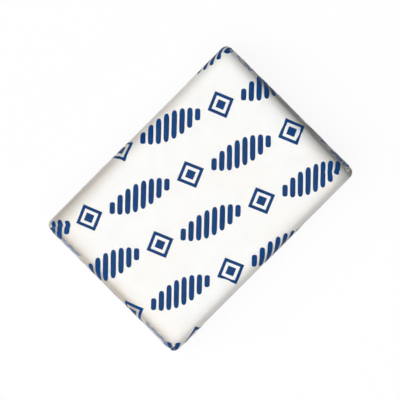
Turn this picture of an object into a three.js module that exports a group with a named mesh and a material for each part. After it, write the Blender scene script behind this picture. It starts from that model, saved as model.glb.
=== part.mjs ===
// A plastic eraser as it is sold: a white vinyl block in one folded sheet of clear printed film.
// Millimetres. X runs along the block, Y across it and Z up. The origin is under the middle of the block, on
// the surface that the pack lies on.

import * as THREE from 'three';

const { clamp, mapLinear, smoothstep } = THREE.MathUtils;

// The moulded block, measured without its wrapper.
const BLOCK_LENGTH = 40;
const BLOCK_WIDTH = 28.9;
const BLOCK_HEIGHT = 12;
// Rounding of the edges round the upper and the lower face, and of the four upright edges.
const EDGE_RADIUS = 2;
const CORNER_RADIUS = 1;

// The film with its print and sealing coat, the slack between it and the block, and the air between two layers
// of film that lie on each other.
const FILM_THICKNESS = 0.06;
const FILM_CLEARANCE = 0.1;
const LAYER_GAP = 0.04;
// How far the sheet runs past the corner creases, which makes the depth of every tuck and flap.
const FOLD_REACH = 7.4;
// Overlap of the sheet's two long edges, along the middle of the underside.
const LAP_WIDTH = 6;
// Film that lies over the edge of another layer starts to climb this far before that edge, and has finished
// its climb this far before it.
const CLIMB_START = 0.6;
const CLIMB_END = 0.15;
// Half the width of the pinhole that is left where the creases of a corner meet.
const PINHOLE = 0.01;

// Facets in a quarter turn of the block, in half a corner of the film, and in the film's edge between its
// crease line and the flat face.
const BLOCK_STEPS = 8;
const CORNER_STEPS = 3;
const BROW_STEPS = 3;

// Rises are measured along the skin of the block, from the middle of its height to either face. The upright
// wall ends at WALL_RISE, the crease line lies halfway round the edge, and the flat face starts at FACE_RISE.
const HALF_EDGE = (EDGE_RADIUS * Math.PI) / 4;
const WALL_RISE = BLOCK_HEIGHT / 2 - EDGE_RADIUS;
const CREASE_RISE = WALL_RISE + HALF_EDGE;
const FACE_RISE = CREASE_RISE + HALF_EDGE;

// Runs are measured along the skin seen from above, from the middle of an upright edge. A positive run goes
// across the short end and a negative one along the long side.
const HALF_CORNER = (CORNER_RADIUS * Math.PI) / 4;
const TUCK_EDGE_Y = BLOCK_WIDTH / 2 - CORNER_RADIUS + HALF_CORNER - FOLD_REACH;

// The film lies in layers, counted from the block. The lower flap and its gussets climb onto the upper flap,
// and the second edge of the lap lies one layer above the first.
const TUCK_LAYER = 1;
const GUSSET_LAYER = 2;
const FLAP_LAYER = 3;
const OVERLAP_LIFT = 2;
const LAP_LIFT = 1;
const LAYER_PITCH = FILM_THICKNESS + LAYER_GAP;
const layerOffset = (layer) => FILM_CLEARANCE + FILM_THICKNESS / 2 + (layer - 1) * LAYER_PITCH;

// The edge of the upper flap, measured along the end from the lower crease line.
const UPPER_FLAP_EDGE = 2 * CREASE_RISE - FOLD_REACH;

// The lap is what the pack lies on, so it sets how high the middle of the block is.
const MIDDLE_HEIGHT = BLOCK_HEIGHT / 2 + layerOffset(TUCK_LAYER + LAP_LIFT) + FILM_THICKNESS / 2;

// On the outside of a crease the film's surface is carried one thickness further than on the inside, so that
// the bend keeps its wall. Each pair is a step in run and a step in rise. At a corner of the pack the wall, the
// gusset and the flap part round the pinhole.
const SLANT = FILM_THICKNESS * Math.SQRT1_2;
const FLAT = { printed: [0, 0], back: [0, 0] };
const CREASE = { printed: [0, 0], back: [0, FILM_THICKNESS] };
const DIAGONAL = { printed: [-SLANT, -SLANT], back: [0, 0] };
const WALL_TIP = { printed: [0, -FILM_THICKNESS - PINHOLE], back: [0, -PINHOLE] };
const GUSSET_TIP = { printed: [-SLANT / 2, -FILM_THICKNESS], back: [0, 0] };
const FLAP_TIP = { printed: [0, PINHOLE], back: [SLANT, SLANT + PINHOLE] };

// Two places closer than this are one.
const SAME_PLACE = 1e-5;

// Evenly spaced numbers from one value to another, both included.
function spread(from, to, steps) {
  return Array.from({ length: steps + 1 }, (_, step) => from + ((to - from) * step) / steps);
}

// The lines that divide the folds, as distances from the corner crease. The same distances serve for runs and
// for rises, so that a diagonal crease passes through the corners of the net.
const DISTANCES = [
  ...spread(0, HALF_CORNER, CORNER_STEPS),
  HALF_EDGE,
  UPPER_FLAP_EDGE - CLIMB_START,
  UPPER_FLAP_EDGE - CLIMB_END,
  FOLD_REACH,
]
  .filter((distance) => distance >= 0 && distance <= FOLD_REACH)
  .sort((a, b) => a - b)
  .filter((distance, index, all) => index === 0 || distance - all[index - 1] > SAME_PLACE);
const RUNS = [...spread(-HALF_CORNER, 0, CORNER_STEPS).slice(0, -1), ...DISTANCES];

// A point at a distance outside the skin of the block. end, side and face are 1 or -1 and say which end, which
// long side, and which of the upper and lower halves it is on. Every piece takes its shape from here.
function skinPoint({ end, side, run }, face, rise, offset) {
  const tilt = Math.max(0, rise - WALL_RISE) / EDGE_RADIUS;
  const turn = Math.PI / 4 - clamp(run, -HALF_CORNER, HALF_CORNER) / CORNER_RADIUS;
  const inset = EDGE_RADIUS * (1 - Math.cos(tilt));
  const centreX = BLOCK_LENGTH / 2 - CORNER_RADIUS - inset;
  const centreY = BLOCK_WIDTH / 2 - CORNER_RADIUS - inset;

  const x = centreX + CORNER_RADIUS * Math.cos(turn);
  let y = centreY + CORNER_RADIUS * Math.sin(turn);
  if (run > FOLD_REACH) {
    y = TUCK_EDGE_Y - (run - FOLD_REACH);
  } else if (run > HALF_CORNER) {
    y = mapLinear(run, HALF_CORNER, FOLD_REACH, centreY, TUCK_EDGE_Y);
  }
  const z = tilt > 0 ? WALL_RISE + EDGE_RADIUS * Math.sin(tilt) : rise;

  return new THREE.Vector3(
    end * (x + offset * Math.cos(tilt) * Math.cos(turn)),
    side * (y + offset * Math.cos(tilt) * Math.sin(turn)),
    face * (z + offset * Math.sin(tilt)) + MIDDLE_HEIGHT,
  );
}

function indexedGeometry(points, triangles) {
  const geometry = new THREE.BufferGeometry().setFromPoints(points);
  geometry.setIndex(triangles.flat());
  geometry.computeVertexNormals();
  return geometry;
}

// The moulded block: closed rings from the rim of the lower face to the rim of the upper one, and a fan across
// each face.
function blockGeometry() {
  const corners = [[1, 1], [-1, 1], [-1, -1], [1, -1]];
  const outline = corners.flatMap(([end, side]) => {
    const first = end * side * HALF_CORNER;
    return spread(first, -first, BLOCK_STEPS).map((run) => ({ end, side, run }));
  });
  const rings = [
    ...spread(FACE_RISE, WALL_RISE, BLOCK_STEPS).map((rise) => ({ face: -1, rise })),
    ...spread(WALL_RISE, FACE_RISE, BLOCK_STEPS).map((rise) => ({ face: 1, rise })),
  ];
  const ring = ({ face, rise }) => outline.map((station) => skinPoint(station, face, rise, 0));
  const points = rings.flatMap(ring);
  const triangles = [];
  const count = outline.length;
  const top = count * (rings.length - 1);

  for (let step = 0; step < count; step += 1) {
    const next = (step + 1) % count;
    for (let low = 0; low < top; low += count) {
      const high = low + count;
      triangles.push([low + step, low + next, high + next], [low + step, high + next, high + step]);
    }
    triangles.push([points.length, next, step], [points.length + 1, top + step, top + next]);
  }
  points.push(
    new THREE.Vector3(0, 0, MIDDLE_HEIGHT - BLOCK_HEIGHT / 2),
    new THREE.Vector3(0, 0, MIDDLE_HEIGHT + BLOCK_HEIGHT / 2),
  );
  return indexedGeometry(points, triangles);
}

// A folded sheet: a net of triangles in which each corner has one place on the printed side and one on the
// back. Triangles run counterclockwise as seen from the printed side.
class Sheet {
  printed = [];
  backs = [];
  triangles = [];
  corners = new Map();
  edges = new Set();

  // The number of a corner, which is shared by all panels that meet there.
  corner(printed, back) {
    const key = [printed, back]
      .flatMap((place) => place.toArray())
      .map((value) => Math.round(value / SAME_PLACE))
      .join();
    if (!this.corners.has(key)) {
      this.corners.set(key, this.printed.length);
      this.printed.push(printed);
      this.backs.push(back);
    }
    return this.corners.get(key);
  }

  triangle(a, b, c, turned) {
    const corners = turned ? [c, b, a] : [a, b, c];
    this.triangles.push(corners);
    corners.forEach((from, index) => this.edges.add(`${from},${corners[(index + 1) % 3]}`));
  }

  quad(a, b, c, d, turned) {
    this.triangle(a, b, c, turned);
    this.triangle(a, c, d, turned);
  }

  // A band between two rows of the same length.
  band(upper, lower, turned) {
    for (let column = 0; column + 1 < upper.length; column += 1) {
      this.quad(upper[column], upper[column + 1], lower[column + 1], lower[column], turned);
    }
  }

  // A panel with a straight border all round.
  panel(rows, turned) {
    rows.slice(1).forEach((row, index) => this.band(rows[index], row, turned));
  }

  // A panel whose rows lose their first corner one by one, along a diagonal crease.
  taperedPanel(rows, turned) {
    rows.slice(1).forEach((row, index) => {
      const upper = rows[index];
      this.triangle(upper[0], upper[1], row[0], turned);
      this.band(upper.slice(1), row, turned);
    });
  }

  // The flat face inside a row that goes round it, from one end of the pack to the other.
  flatFace(row, turned) {
    const half = row.length / 2;
    this.band(row.slice(0, half), row.slice(half).toReversed(), turned);
  }

  // The bend that joins the borders of two panels which are already there.
  bend(first, second) {
    this.band(first, second, this.edges.has(`${first[0]},${first[1]}`));
  }

  // The two triangles of the rim along a free edge, split along the shorter diagonal.
  rim(from, to) {
    const count = this.printed.length;
    const rising = this.printed[to].distanceTo(this.backs[from]);
    const falling = this.printed[from].distanceTo(this.backs[to]);
    return rising < falling
      ? [[to, from, from + count], [to, from + count, to + count]]
      : [[to, from, to + count], [from, from + count, to + count]];
  }

  // The sheet as a closed solid, with a rim along every free edge.
  geometry() {
    const count = this.printed.length;
    const solid = [...this.triangles];
    for (const [a, b, c] of this.triangles) {
      solid.push([c + count, b + count, a + count]);
      for (const [from, to] of [[a, b], [b, c], [c, a]]) {
        if (!this.edges.has(`${to},${from}`)) {
          solid.push(...this.rim(from, to));
        }
      }
    }
    return indexedGeometry([...this.printed, ...this.backs], solid);
  }
}

// A corner of the film in a layer. The printed side faces out, or towards the block where print is -1.
function filmCorner(sheet, station, face, rise, layer, slip = FLAT, print = 1) {
  const place = ([runStep, riseStep], offset) =>
    skinPoint({ ...station, run: station.run + runStep }, face, rise + riseStep, layerOffset(layer) + offset);
  const half = (print * FILM_THICKNESS) / 2;
  return sheet.corner(place(slip.printed, half), place(slip.back, -half));
}

// A corner of a side wall or of its tucks, which are creased along their upper and lower borders.
function wallCorner(sheet, station, face, rise) {
  let slip = FLAT;
  if (rise === CREASE_RISE && station.run >= 0) {
    slip = station.run === 0 ? WALL_TIP : CREASE;
  }
  return filmCorner(sheet, station, face, rise, TUCK_LAYER, slip);
}

// The stations of a flap past its tucks. The upper flap is whole. The lower one is split by the lap: the sheet's
// first edge ends just past the middle, and its second edge climbs onto the first.
function middleStations(end, side, face) {
  const station = (y, lift) => ({ end, side, run: FOLD_REACH + TUCK_EDGE_Y - y, lift });
  if (face > 0) {
    return [station(0, 0)];
  }
  const lapEdge = station(-LAP_WIDTH / 2, side > 0 ? 0 : LAP_LIFT);
  if (side > 0) {
    return [lapEdge];
  }
  return [station(LAP_WIDTH / 2 + CLIMB_START, 0), station(LAP_WIDTH / 2 + CLIMB_END, LAP_LIFT), lapEdge];
}

// One long side of the pack with the tucks at its two ends.
function addWall(sheet, side) {
  const rises = DISTANCES.filter((distance) => distance <= HALF_EDGE).map((distance) => CREASE_RISE - distance);
  const levels = [...rises.map((rise) => [1, rise]), ...rises.toReversed().map((rise) => [-1, rise])];
  const stations = [
    ...RUNS.toReversed().map((run) => ({ end: 1, side, run })),
    ...RUNS.map((run) => ({ end: -1, side, run })),
  ];
  const rows = levels.map(([face, rise]) => stations.map((station) => wallCorner(sheet, station, face, rise)));
  sheet.panel(rows, side > 0);
}

// Half of the upper or lower face of the pack, with its rounded edges. Over the ends the film rises from the
// first layer to that of the flap.
function addFace(sheet, side, face) {
  const half = (end) => [...RUNS.map((run) => ({ end, side, run, lift: 0 })), ...middleStations(end, side, face)];
  const stations = [...half(1).toReversed(), ...half(-1)];
  const rows = spread(0, 1, BROW_STEPS).map((share) => {
    const rise = CREASE_RISE + share * (FACE_RISE - CREASE_RISE);
    const lift = (FLAP_LAYER - TUCK_LAYER) * (1 - share) ** 2 * (1 + share);
    return stations.map((station) => {
      const layer = station.run < 0 ? TUCK_LAYER : TUCK_LAYER + lift + station.lift;
      return filmCorner(sheet, station, face, rise, layer, share === 0 && station.run === 0 ? FLAP_TIP : FLAT);
    });
  });
  sheet.panel(rows, side * face < 0);
  sheet.flatFace(rows.at(-1), side * face < 0);
}

// Half of a flap, and the gusset that joins it to the tuck behind it.
function addFlap(sheet, end, side, face) {
  const climb = (distance) => (face > 0 ? 0 : OVERLAP_LIFT
    * smoothstep(distance, UPPER_FLAP_EDGE - CLIMB_START, UPPER_FLAP_EDGE - CLIMB_END));
  const turned = end * side * face < 0;
  const stations = DISTANCES.map((run) => ({ end, side, run, lift: 0 }));

  const flap = DISTANCES.map((distance, index) => {
    const row = [...stations.slice(index), ...middleStations(end, side, face)];
    return row.map((station, column) => {
      const layer = FLAP_LAYER + climb(distance) + station.lift;
      const edge = index === 0 ? FLAP_TIP : DIAGONAL;
      return filmCorner(sheet, station, face, CREASE_RISE - distance, layer, column === 0 ? edge : FLAT);
    });
  });
  sheet.taperedPanel(flap, turned);

  const gusset = DISTANCES.map((distance, index) =>
    stations.slice(index).map((station, column) => {
      const layer = GUSSET_LAYER + climb(distance);
      const edge = index === 0 ? GUSSET_TIP : DIAGONAL;
      const inner = index === 0 ? CREASE : FLAT;
      return filmCorner(sheet, station, face, CREASE_RISE - distance, layer, column === 0 ? edge : inner, -1);
    }));
  sheet.taperedPanel(gusset, !turned);

  const tuckBorder = stations.map((station) => wallCorner(sheet, station, face, CREASE_RISE));
  sheet.bend(tuckBorder, gusset[0]);
  sheet.bend(gusset.map((row) => row[0]), flap.map((row) => row[0]));
}

// The wrapper: one sheet that makes a tube round the block, closed by the lap, and an envelope fold on each end.
function wrapperGeometry() {
  const sheet = new Sheet();
  for (const side of [1, -1]) {
    addWall(sheet, side);
    for (const face of [1, -1]) {
      addFace(sheet, side, face);
      addFlap(sheet, 1, side, face);
      addFlap(sheet, -1, side, face);
    }
  }
  return sheet.geometry();
}

const VINYL = new THREE.MeshStandardMaterial({ color: 0xfdfdf6, roughness: 0.55, metalness: 0 });
const PRINTED_FILM = new THREE.MeshStandardMaterial({
  color: 0xe9eff5, roughness: 0.12, metalness: 0, transparent: true, opacity: 0.4,
});

function namedMesh(name, geometry, material) {
  const mesh = new THREE.Mesh(geometry, material);
  mesh.name = name;
  return mesh;
}

const eraser = new THREE.Group();
eraser.add(
  namedMesh('eraser_block', blockGeometry(), VINYL),
  namedMesh('film_wrapper', wrapperGeometry(), PRINTED_FILM),
);

export default eraser;
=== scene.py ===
"""Looks of a plastic eraser in its printed film wrapper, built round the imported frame.

The frame holds two solids, the moulded block and the folded film. This script makes a finer
surface for each, gives them their finishes, and sets up the pale studio that they are seen in.
Lengths are metres, written as multiples of MM. X runs along the block, Y across it, Z up.
"""

import logging
import math
from abc import ABC, abstractmethod
from dataclasses import dataclass, field
from enum import Enum
from typing import Any, ClassVar

import bpy
import numpy as np
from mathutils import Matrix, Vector
from mathutils.bvhtree import BVHTree
from mathutils.geometry import delaunay_2d_cdt


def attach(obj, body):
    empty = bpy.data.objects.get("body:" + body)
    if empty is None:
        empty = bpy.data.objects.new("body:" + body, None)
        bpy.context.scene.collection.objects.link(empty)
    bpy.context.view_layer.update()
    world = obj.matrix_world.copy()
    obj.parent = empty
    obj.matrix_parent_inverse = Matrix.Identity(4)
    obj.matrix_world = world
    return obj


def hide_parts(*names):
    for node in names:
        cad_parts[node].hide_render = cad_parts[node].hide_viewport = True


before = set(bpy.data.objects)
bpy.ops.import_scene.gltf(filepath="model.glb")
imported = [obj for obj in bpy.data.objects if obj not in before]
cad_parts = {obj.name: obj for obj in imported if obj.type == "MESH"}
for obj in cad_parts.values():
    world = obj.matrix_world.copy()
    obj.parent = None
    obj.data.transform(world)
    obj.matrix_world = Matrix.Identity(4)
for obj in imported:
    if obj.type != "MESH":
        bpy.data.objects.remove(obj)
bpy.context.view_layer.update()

MM = 0.001
BODY = "root"
SAME_PLACE = 1e-4 * MM
WHITE = (1.0, 1.0, 1.0, 1.0)
# Most values of a Noise Texture lie between these two.
NOISE_SPAN = (0.3, 0.7)
SHEET_MAP = "sheet"
FACING = "facing"
INKED = "inked"

Socket = bpy.types.NodeSocket
Pair = tuple[float, float]
Colour = tuple[float, float, float]

log = logging.getLogger("eraser")


class Axis(Enum):
    """The direction of the block that an edge faces."""

    ALONG = 0
    ACROSS = 1


class Mark(Enum):
    """The name of a number that each corner of a mesh keeps for its material or its node tree."""

    # Strength of the beige and grey shade painted along the block's edges.
    BEIGE_SHADE = "beige"
    GREY_SHADE = "grey"
    SLACK = "slack"
    SEALED = "sealed"
    # Where the film's shine is dulled over the grey shade painted on the block.
    SHADE_DULLED = "shade_dulled"


def smooth(value: np.ndarray, start: float, end: float) -> np.ndarray:
    """Ease numbers from 0, at the value start, to 1, at the value end."""
    share = np.clip((value - start) / (end - start), 0.0, 1.0)
    return share * share * (3.0 - 2.0 * share)


def stations(stretches: list[Pair]) -> np.ndarray:
    """Fill a row of stretches evenly, on both sides of zero.

    Args:
        stretches: The end of each stretch, rising from zero, and the widest step in it.

    Returns:
        Rising values, with zero and every end on either side among them.
    """
    starts = [0.0, *(end for end, _ in stretches)]
    parts = [
        np.linspace(start, end, math.ceil((end - start) / step), endpoint=False)
        for start, (end, step) in zip(starts, stretches)
    ]
    half = np.concatenate([*parts, [starts[-1]]])
    return np.concatenate([-half[:0:-1], half])


class Wiring:
    """A node tree while its nodes are being added and joined."""

    def __init__(self, tree: bpy.types.NodeTree) -> None:
        """Keep the tree that the nodes go into."""
        self.tree = tree

    def node(self, kind: str, inputs: dict[Any, Any] | None = None, **settings: Any) -> bpy.types.Node:
        """Add a node.

        Args:
            kind: Blender's name for the kind of node.
            inputs: Values or output sockets, by input name or number.
            **settings: Properties of the node, set before its inputs.

        Returns:
            The new node.
        """
        made = self.tree.nodes.new(kind)
        for name, value in settings.items():
            setattr(made, name, value)
        for name, value in (inputs or {}).items():
            if isinstance(value, bpy.types.NodeSocket):
                self.tree.links.new(value, made.inputs[name])
            else:
                made.inputs[name].default_value = value
        return made

    def math(self, operation: str, *values: Any) -> Socket:
        """Add a Math node and give its result."""
        return self.node("ShaderNodeMath", dict(enumerate(values)), operation=operation).outputs[0]

    def product(self, first: Any, *others: Any) -> Socket:
        """Multiply numbers.

        Args:
            first: The first number or socket.
            *others: The numbers or sockets that it is multiplied by, in turn.

        Returns:
            The product.
        """
        result = first
        for other in others:
            result = self.math("MULTIPLY", result, other)
        return result

    def vector(self, operation: str, *values: Any) -> Socket:
        """Add a Vector Math node and give its result, a vector or, for some operations, a number."""
        made = self.node("ShaderNodeVectorMath", dict(enumerate(values)), operation=operation)
        return made.outputs["Value" if operation in ("DOT_PRODUCT", "LENGTH") else "Vector"]

    def scaled(self, vector: Socket, factor: Any) -> Socket:
        """Scale a vector by a number or socket."""
        return self.node("ShaderNodeVectorMath", {0: vector, 3: factor}, operation="SCALE").outputs[0]

    def split(self, vector: Socket) -> bpy.types.NodeOutputs:
        """Split a vector into its three numbers."""
        return self.node("ShaderNodeSeparateXYZ", {0: vector}).outputs

    def joined(self, x: Any = 0.0, y: Any = 0.0, z: Any = 0.0) -> Socket:
        """Join three numbers into a vector."""
        return self.node("ShaderNodeCombineXYZ", {0: x, 1: y, 2: z}).outputs[0]

    def noise(self, vector: Socket, scale: float, detail: float) -> Socket:
        """Add a Noise Texture and give its value, from 0 to 1 round 0.5."""
        inputs = {"Vector": vector, "Scale": scale, "Detail": detail}
        return self.node("ShaderNodeTexNoise", inputs).outputs[0]

    def spread(self, value: Any, source: Pair, target: tuple[Any, Any]) -> Socket:
        """Add a clamped Map Range from one pair of numbers to another and give its result."""
        inputs = {1: source[0], 2: source[1], 3: target[0], 4: target[1], 0: value}
        return self.node("ShaderNodeMapRange", inputs, clamp=True).outputs[0]


class SurfaceWiring(Wiring):
    """The node tree of a material or of the world."""

    def place(self) -> Socket:
        """Give the place on the piece in its own coordinates."""
        return self.node("ShaderNodeTexCoord").outputs["Object"]

    def mark(self, mark: Mark) -> Socket:
        """Give the number that the piece's mesh keeps under a name."""
        return self.node("ShaderNodeAttribute", attribute_name=mark.value).outputs["Fac"]

    def tint(self, share: Socket, first: Any, second: Colour) -> Socket:
        """Mix a colour into another one, which is a socket or has four numbers."""
        inputs = {0: share, 6: first, 7: (*second, 1.0)}
        return self.node("ShaderNodeMix", inputs, data_type="RGBA").outputs[2]

    def mixed(self, share: Socket, first: bpy.types.Node, second: bpy.types.Node) -> bpy.types.Node:
        """Mix the second shader into the first."""
        return self.node("ShaderNodeMixShader", {0: share, 1: first.outputs[0], 2: second.outputs[0]})

    def background_rays(self) -> Socket:
        """Find the rays that show the background: seen straight, in gloss or through film.

        Returns:
            1 for such a ray and 0 for any other.
        """
        path = self.node("ShaderNodeLightPath").outputs
        mirrored = self.math("MAXIMUM", path["Is Glossy Ray"], path["Is Transmission Ray"])
        return self.math("MAXIMUM", path["Is Camera Ray"], mirrored)


class ShapeWiring(Wiring):
    """A Geometry Nodes tree with a named number input for each size.

    Attributes:
        sizes: Values of the inputs by name.
        inputs: Their sockets by name.
    """

    def __init__(self, name: str, sizes: dict[str, float]) -> None:
        """Start the tree.

        Args:
            name: The tree's name.
            sizes: Values of its inputs by name.
        """
        tree = bpy.data.node_groups.new(name, "GeometryNodeTree")
        for way in ("INPUT", "OUTPUT"):
            tree.interface.new_socket(name="Geometry", in_out=way, socket_type="NodeSocketGeometry")
        for size in sizes:
            tree.interface.new_socket(name=size, in_out="INPUT", socket_type="NodeSocketFloat")
        super().__init__(tree)
        self.sizes = sizes
        entry = self.node("NodeGroupInput")
        self.inputs = {socket.name: socket for socket in entry.outputs if socket.name}

    def position(self) -> Socket:
        """Give the place of each corner."""
        return self.node("GeometryNodeInputPosition").outputs[0]

    def moved(self, geometry: Socket, **change: Socket) -> Socket:
        """Give each corner its own Position, or move it by its own Offset."""
        return self.node("GeometryNodeSetPosition", {"Geometry": geometry, **change}).outputs[0]

    def union(self, *parts: Socket) -> Socket:
        """Join pieces of geometry.

        Args:
            *parts: The pieces.

        Returns:
            All of them as one.
        """
        whole = self.node("GeometryNodeJoinGeometry")
        for part in parts:
            self.tree.links.new(part, whole.inputs[0])
        return whole.outputs[0]

    def finish(self, geometry: Socket, material: bpy.types.Material) -> None:
        """End the tree.

        Args:
            geometry: What it has made, which may hold instances.
            material: The material that all of it gets.
        """
        whole = self.node("GeometryNodeRealizeInstances", {0: geometry}).outputs[0]
        dressed = self.node("GeometryNodeSetMaterial", {"Geometry": whole, "Material": material})
        self.node("NodeGroupOutput", {0: dressed.outputs[0]})

    def run(self, mesh: bpy.types.Mesh) -> bpy.types.Mesh:
        """Run a mesh through the finished tree and keep the plain result.

        Args:
            mesh: The mesh to start from.

        Returns:
            A new mesh without modifiers.
        """
        carrier = add_object("carrier", mesh)
        modifier = carrier.modifiers.new("grow", "NODES")
        modifier.node_group = self.tree
        for socket in self.tree.interface.items_tree:
            if socket.in_out == "INPUT" and socket.name in self.sizes:
                modifier[socket.identifier] = self.sizes[socket.name]
        evaluated = carrier.evaluated_get(bpy.context.evaluated_depsgraph_get())
        result = bpy.data.meshes.new_from_object(evaluated)
        bpy.data.objects.remove(carrier)
        return result


def add_object(name: str, data: bpy.types.ID) -> bpy.types.Object:
    """Put a mesh, lamp or camera into the scene.

    Args:
        name: The object's name.
        data: What it shows.

    Returns:
        The object, at the origin.
    """
    made = bpy.data.objects.new(name, data)
    bpy.context.scene.collection.objects.link(made)
    return made


def keep_marks(mesh: bpy.types.Mesh, marks: dict[Mark, np.ndarray]) -> None:
    """Store numbers on the corners of a mesh, under the name of the mark that they come with."""
    for mark, values in marks.items():
        mesh.attributes.new(mark.value, "FLOAT", "POINT").data.foreach_set("value", values)


@dataclass(frozen=True)
class EdgeZone:
    """A band along one upper edge of the block, where something grows from nothing towards the edge.

    Attributes:
        axis: Whether the edge is at an end or along a long side.
        sign: Which of the two ends or sides.
        amounts: How much of it there is at the edge's negative and at its positive corner.
        reaches: Width of the band at those two corners.
        power: How late it grows towards the edge.
    """

    axis: Axis
    sign: int
    amounts: Pair
    reaches: Pair
    power: float = 2.0

    def amount(self, points: np.ndarray, halves: tuple[float, float, float]) -> np.ndarray:
        """Work out how much of it there is at points measured from the block's middle.

        Args:
            points: The points.
            halves: Half the block's length, width and height.

        Returns:
            The amount at each point.
        """
        along = self.axis.value
        beside = 1 - along
        share = np.clip(points[:, beside] / halves[beside] / 2 + 0.5, 0.0, 1.0)
        full = self.amounts[0] + (self.amounts[1] - self.amounts[0]) * share
        reach = self.reaches[0] + (self.reaches[1] - self.reaches[0]) * share
        out = self.sign * points[:, along] - halves[along]
        upper = np.clip(points[:, 2] / halves[2], 0.0, 1.0)
        return full * upper ** 2 * np.clip(1.0 + out / reach, 0.0, 1.0) ** self.power


@dataclass(frozen=True)
class Skin:
    """The surface of the block, and places at a distance outside it.

    Rises go from the middle of the height towards either face, and runs from the middle of an
    upright edge, positive across the end and negative along the long side.

    Attributes:
        length: Length of the block.
        width: Width of the block.
        height: Height of the block.
        edge_radius: Rounding of the edges round the two faces.
        corner_radius: Rounding of the four upright edges.
        corner_fade: Depth into a face over which the rounding of its corners fades.
        shade_fade: How far below and above the end of a wall the painted edge shade fades in.
        free_length: Distance from the middle of the length up to which the net isn't squeezed.
        free_width: The same from the middle of the width.
        middle: Height of the block's middle above the floor.
        sags: Where the upper edges have sagged, and how deep.
        painted_grey_shade: Where grey shade is painted on them, and how strongly.
        painted_beige_shade: Where warm beige shade is painted on them, and how strongly.
    """

    length: float = 40.64 * MM
    width: float = 28.81 * MM
    height: float = 12.1 * MM
    edge_radius: float = 2.0 * MM
    corner_radius: float = 1.0 * MM
    corner_fade: float = 2.4 * MM
    shade_fade: Pair = (2.2 * MM, 0.8 * MM)
    free_length: float = 8.0 * MM
    free_width: float = 4.0 * MM
    middle: float = 6.212 * MM
    sags: tuple[EdgeZone, ...] = (
        EdgeZone(Axis.ALONG, 1, (1.3 * MM, 0.45 * MM), (4.2 * MM, 2.8 * MM)),
        EdgeZone(Axis.ALONG, -1, (0.6 * MM, 0.75 * MM), (3.2 * MM, 3.2 * MM)),
        EdgeZone(Axis.ACROSS, 1, (0.7 * MM, 0.1 * MM), (3.2 * MM, 2.6 * MM)),
        EdgeZone(Axis.ACROSS, -1, (0.45 * MM, 0.5 * MM), (3.0 * MM, 3.0 * MM)),
    )
    # Grey shade painted on the upper edges, darkest at the +X end.
    painted_grey_shade: tuple[EdgeZone, ...] = (
        EdgeZone(Axis.ALONG, 1, (1.5, 0.3), (4.6 * MM, 1.6 * MM), 3.0),
        EdgeZone(Axis.ALONG, 1, (1.4, 1.0), (1.2 * MM, 0.8 * MM), 1.0),
        EdgeZone(Axis.ACROSS, -1, (0.3, 0.5), (2.0 * MM, 2.2 * MM)),
    )
    # Warm beige shade painted on the upper edges, most at the -X end and the +Y side.
    painted_beige_shade: tuple[EdgeZone, ...] = (
        EdgeZone(Axis.ALONG, -1, (0.8, 1.0), (3.0 * MM, 3.8 * MM)),
        EdgeZone(Axis.ALONG, -1, (0.9, 0.9), (1.2 * MM, 1.2 * MM), 1.0),
        EdgeZone(Axis.ACROSS, 1, (1.2, 0.1), (3.8 * MM, 1.8 * MM)),
        EdgeZone(Axis.ACROSS, 1, (0.5, 0.1), (1.0 * MM, 1.0 * MM), 1.0),
        EdgeZone(Axis.ACROSS, -1, (0.5, 0.3), (2.2 * MM, 2.4 * MM)),
    )

    @property
    def halves(self) -> tuple[float, float, float]:
        """Half the block's length, width and height."""
        return self.length / 2, self.width / 2, self.height / 2

    @property
    def half_edge(self) -> float:
        """Skin from a crease line to the flat face."""
        return self.edge_radius * math.pi / 4

    @property
    def half_corner(self) -> float:
        """Skin from the middle of an upright edge to either wall."""
        return self.corner_radius * math.pi / 4

    @property
    def wall_rise(self) -> float:
        """Rise at which the upright wall ends."""
        return self.height / 2 - self.edge_radius

    @property
    def crease_rise(self) -> float:
        """Rise of the crease line, halfway round the edge."""
        return self.wall_rise + self.half_edge

    @property
    def flat_half(self) -> Pair:
        """Half the length and half the width of a face, laid flat, between its crease lines."""
        slack = self.half_corner - self.corner_radius
        return self.length / 2 + slack, self.width / 2 + slack

    @staticmethod
    def eased(flat: np.ndarray, free: float, flat_end: np.ndarray, end: np.ndarray) -> np.ndarray:
        """Carry flat distances to the block, and take up what the corner lacks past the free stretch."""
        share = np.clip((flat - free) / np.maximum(flat_end - free, SAME_PLACE), 0.0, None)
        return flat - (flat_end - end) * share * share

    def place(self, run: np.ndarray, rise: np.ndarray, offset: np.ndarray) -> tuple[np.ndarray, np.ndarray]:
        """Find points in the corner where x, y and z are positive, measured from the block's middle.

        Args:
            run: Runs of the points.
            rise: Rises of the points.
            offset: Their distances outside the skin.

        Returns:
            The points and the directions in which the skin faces there.
        """
        radius = self.edge_radius
        tilt = np.clip((rise - self.wall_rise) / radius, 0.0, math.pi / 2)
        turned_in = np.maximum(rise - self.crease_rise, 0.0)
        inward = np.maximum(turned_in - self.half_edge, 0.0)
        flat_x, flat_y = self.flat_half
        squeeze = (self.width / 2 - radius) / (flat_y - self.half_edge)
        inset = radius * (1.0 - np.cos(tilt)) + squeeze * inward
        half_x = self.length / 2 - inset
        half_y = self.width / 2 - inset

        corner = self.corner_radius * (1.0 - smooth(inward, 0.0, self.corner_fade))
        half_corner = corner * math.pi / 4
        turn = math.pi / 4 - np.clip(run, -half_corner, half_corner) / np.maximum(corner, SAME_PLACE)
        end_x = flat_x - turned_in
        end_y = flat_y - turned_in
        along = self.eased(end_x - np.abs(run), self.free_length, end_x - half_corner, half_x - corner)
        across = self.eased(end_y - np.abs(run), self.free_width, end_y - half_corner, half_y - corner)

        x = np.where(run < -half_corner, along, half_x - corner + corner * np.cos(turn))
        y = np.where(run > half_corner, across, half_y - corner + corner * np.sin(turn))
        z = np.where(tilt > 0.0, self.wall_rise + radius * np.sin(tilt), rise)
        level = np.cos(tilt)
        facing = np.stack([level * np.cos(turn), level * np.sin(turn), np.sin(tilt)], axis=1)
        return np.stack([x, y, z], axis=1) + facing * offset[:, None], facing

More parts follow.
